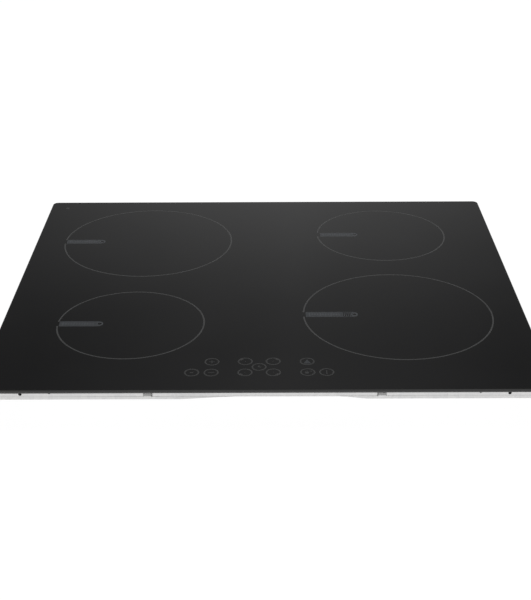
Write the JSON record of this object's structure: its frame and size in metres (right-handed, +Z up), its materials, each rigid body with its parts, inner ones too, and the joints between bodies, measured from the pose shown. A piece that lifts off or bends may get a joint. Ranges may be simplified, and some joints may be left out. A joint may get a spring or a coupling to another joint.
{
  "type": "built-in induction cooktop",
  "caption": "Frameless black glass induction cooktop with printed ring zones, a front touch panel, a sheet-metal rim and a shallow electronics tray beneath.",
  "frame": {"origin": "on the underside of the base tray, below the centre of the glass", "axes": "+X to the cook's right, +Y to the back, +Z up out of the glass"},
  "size_m": [0.58, 0.51, 0.054],
  "materials": {
    "ceramic_glass": "polished black glass-ceramic with a fine grey print",
    "seal_foam": "soft black closed-cell foam",
    "galvanised_steel": "bright zinc spangle, satin",
    "aluminium": "mill finish",
    "spring_steel": "plain rolled spring steel",
    "mica": "pressed mica sheet",
    "litz_wire": "enamelled copper-clad litz wire",
    "black_plastic": "glass-filled moulding, matt",
    "grey_plastic": "moulded, satin",
    "ferrite": "pressed and sintered, dull",
    "sensor_silicone": "white silicone",
    "circuit_board": "green solder mask",
    "capacitor_case": "moulded yellow case",
    "lead_insulation": "silicone sleeve",
    "bush_rubber": "moulded rubber",
    "label": "blank silver foil label"
  },
  "bodies": {
    "root": {"glass_plate": "ceramic_glass", "worktop_seal": "seal_foam", "support_frame": "galvanised_steel", "base_tray": "galvanised_steel", "coil_support_plate": "aluminium", "heat_sink_left": "aluminium", "heat_sink_right": "aluminium", "clip_foot_front_left": "spring_steel", "clip_foot_front_right": "spring_steel", "clip_foot_rear_left": "spring_steel", "clip_foot_rear_right": "spring_steel", "coil_spring_rear_left": "spring_steel", "coil_lead_rear_left": "lead_insulation", "coil_spring_front_left": "spring_steel", "coil_lead_front_left": "lead_insulation", "coil_spring_rear_right": "spring_steel", "coil_lead_rear_right": "lead_insulation", "coil_spring_front_right": "spring_steel", "coil_lead_front_right": "lead_insulation", "board_carrier": "black_plastic", "fan_housing": "black_plastic", "control_housing": "black_plastic", "fan_motor": "grey_plastic", "terminal_block": "grey_plastic", "ribbon_cable": "grey_plastic", "power_board_left": "circuit_board", "power_board_right": "circuit_board", "control_board": "circuit_board", "capacitors_left": "capacitor_case", "capacitors_right": "capacitor_case", "filter_choke": "litz_wire", "key_pads": "bush_rubber", "cable_inlet": "bush_rubber", "rating_plate": "label"},
    "fan_rotor": {"fan_impeller": "black_plastic"},
    "coil_rear_left": {"coil_winding_rear_left": "litz_wire", "coil_carrier_rear_left": "black_plastic", "ferrite_star_rear_left": "ferrite", "mica_sheet_rear_left": "mica", "temp_sensor_rear_left": "sensor_silicone"},
    "coil_front_left": {"coil_winding_front_left": "litz_wire", "coil_carrier_front_left": "black_plastic", "ferrite_star_front_left": "ferrite", "mica_sheet_front_left": "mica", "temp_sensor_front_left": "sensor_silicone"},
    "coil_rear_right": {"coil_winding_rear_right": "litz_wire", "coil_carrier_rear_right": "black_plastic", "ferrite_star_rear_right": "ferrite", "mica_sheet_rear_right": "mica", "temp_sensor_rear_right": "sensor_silicone"},
    "coil_front_right": {"coil_winding_front_right": "litz_wire", "coil_carrier_front_right": "black_plastic", "ferrite_star_front_right": "ferrite", "mica_sheet_front_right": "mica", "temp_sensor_front_right": "sensor_silicone"},
    "terminal_flap": {"terminal_cover": "black_plastic"},
    "spring_clip_front_left": {"clip_front_left": "spring_steel"},
    "spring_clip_front_right": {"clip_front_right": "spring_steel"},
    "spring_clip_rear_left": {"clip_rear_left": "spring_steel"},
    "spring_clip_rear_right": {"clip_rear_right": "spring_steel"}
  },
  "joints": [
    {"name": "fan_spin", "type": "hinge", "parent": "root", "child": "fan_rotor", "pos_m": [0, 0.168, 0.02], "axis": [0, 0, 1], "continuous": true},
    {"name": "coil_press_rear_left", "type": "slide", "parent": "root", "child": "coil_rear_left", "axis": [0, 0, 1], "range_m": [-0.0012, 0], "stiffness_N_per_m": 3000, "springref_m": 0.004, "deforming": ["coil_spring_rear_left"]},
    {"name": "coil_press_front_left", "type": "slide", "parent": "root", "child": "coil_front_left", "axis": [0, 0, 1], "range_m": [-0.0012, 0], "stiffness_N_per_m": 3000, "springref_m": 0.004, "deforming": ["coil_spring_front_left"]},
    {"name": "coil_press_rear_right", "type": "slide", "parent": "root", "child": "coil_rear_right", "axis": [0, 0, 1], "range_m": [-0.0012, 0], "stiffness_N_per_m": 3000, "springref_m": 0.004, "deforming": ["coil_spring_rear_right"]},
    {"name": "coil_press_front_right", "type": "slide", "parent": "root", "child": "coil_front_right", "axis": [0, 0, 1], "range_m": [-0.0012, 0], "stiffness_N_per_m": 3000, "springref_m": 0.004, "deforming": ["coil_spring_front_right"]},
    {"name": "cover_hinge", "type": "hinge", "parent": "root", "child": "terminal_flap", "pos_m": [0.165, 0.2212, 0.0335], "axis": [1, 0, 0], "range_deg": [0, 75]},
    {"name": "clip_flex_front_left", "type": "hinge", "parent": "root", "child": "spring_clip_front_left", "pos_m": [-0.118, -0.2433, 0.0436], "axis": [1, 0, 0], "range_deg": [0, 20], "stiffness_Nm_per_rad": 0.05},
    {"name": "clip_flex_front_right", "type": "hinge", "parent": "root", "child": "spring_clip_front_right", "pos_m": [0.118, -0.2433, 0.0436], "axis": [1, 0, 0], "range_deg": [0, 20], "stiffness_Nm_per_rad": 0.05},
    {"name": "clip_flex_rear_left", "type": "hinge", "parent": "root", "child": "spring_clip_rear_left", "pos_m": [-0.118, 0.2433, 0.0436], "axis": [-1, 0, 0], "range_deg": [0, 20], "stiffness_Nm_per_rad": 0.05},
    {"name": "clip_flex_rear_right", "type": "hinge", "parent": "root", "child": "spring_clip_rear_right", "pos_m": [0.118, 0.2433, 0.0436], "axis": [-1, 0, 0], "range_deg": [0, 20], "stiffness_Nm_per_rad": 0.05}
  ]
}
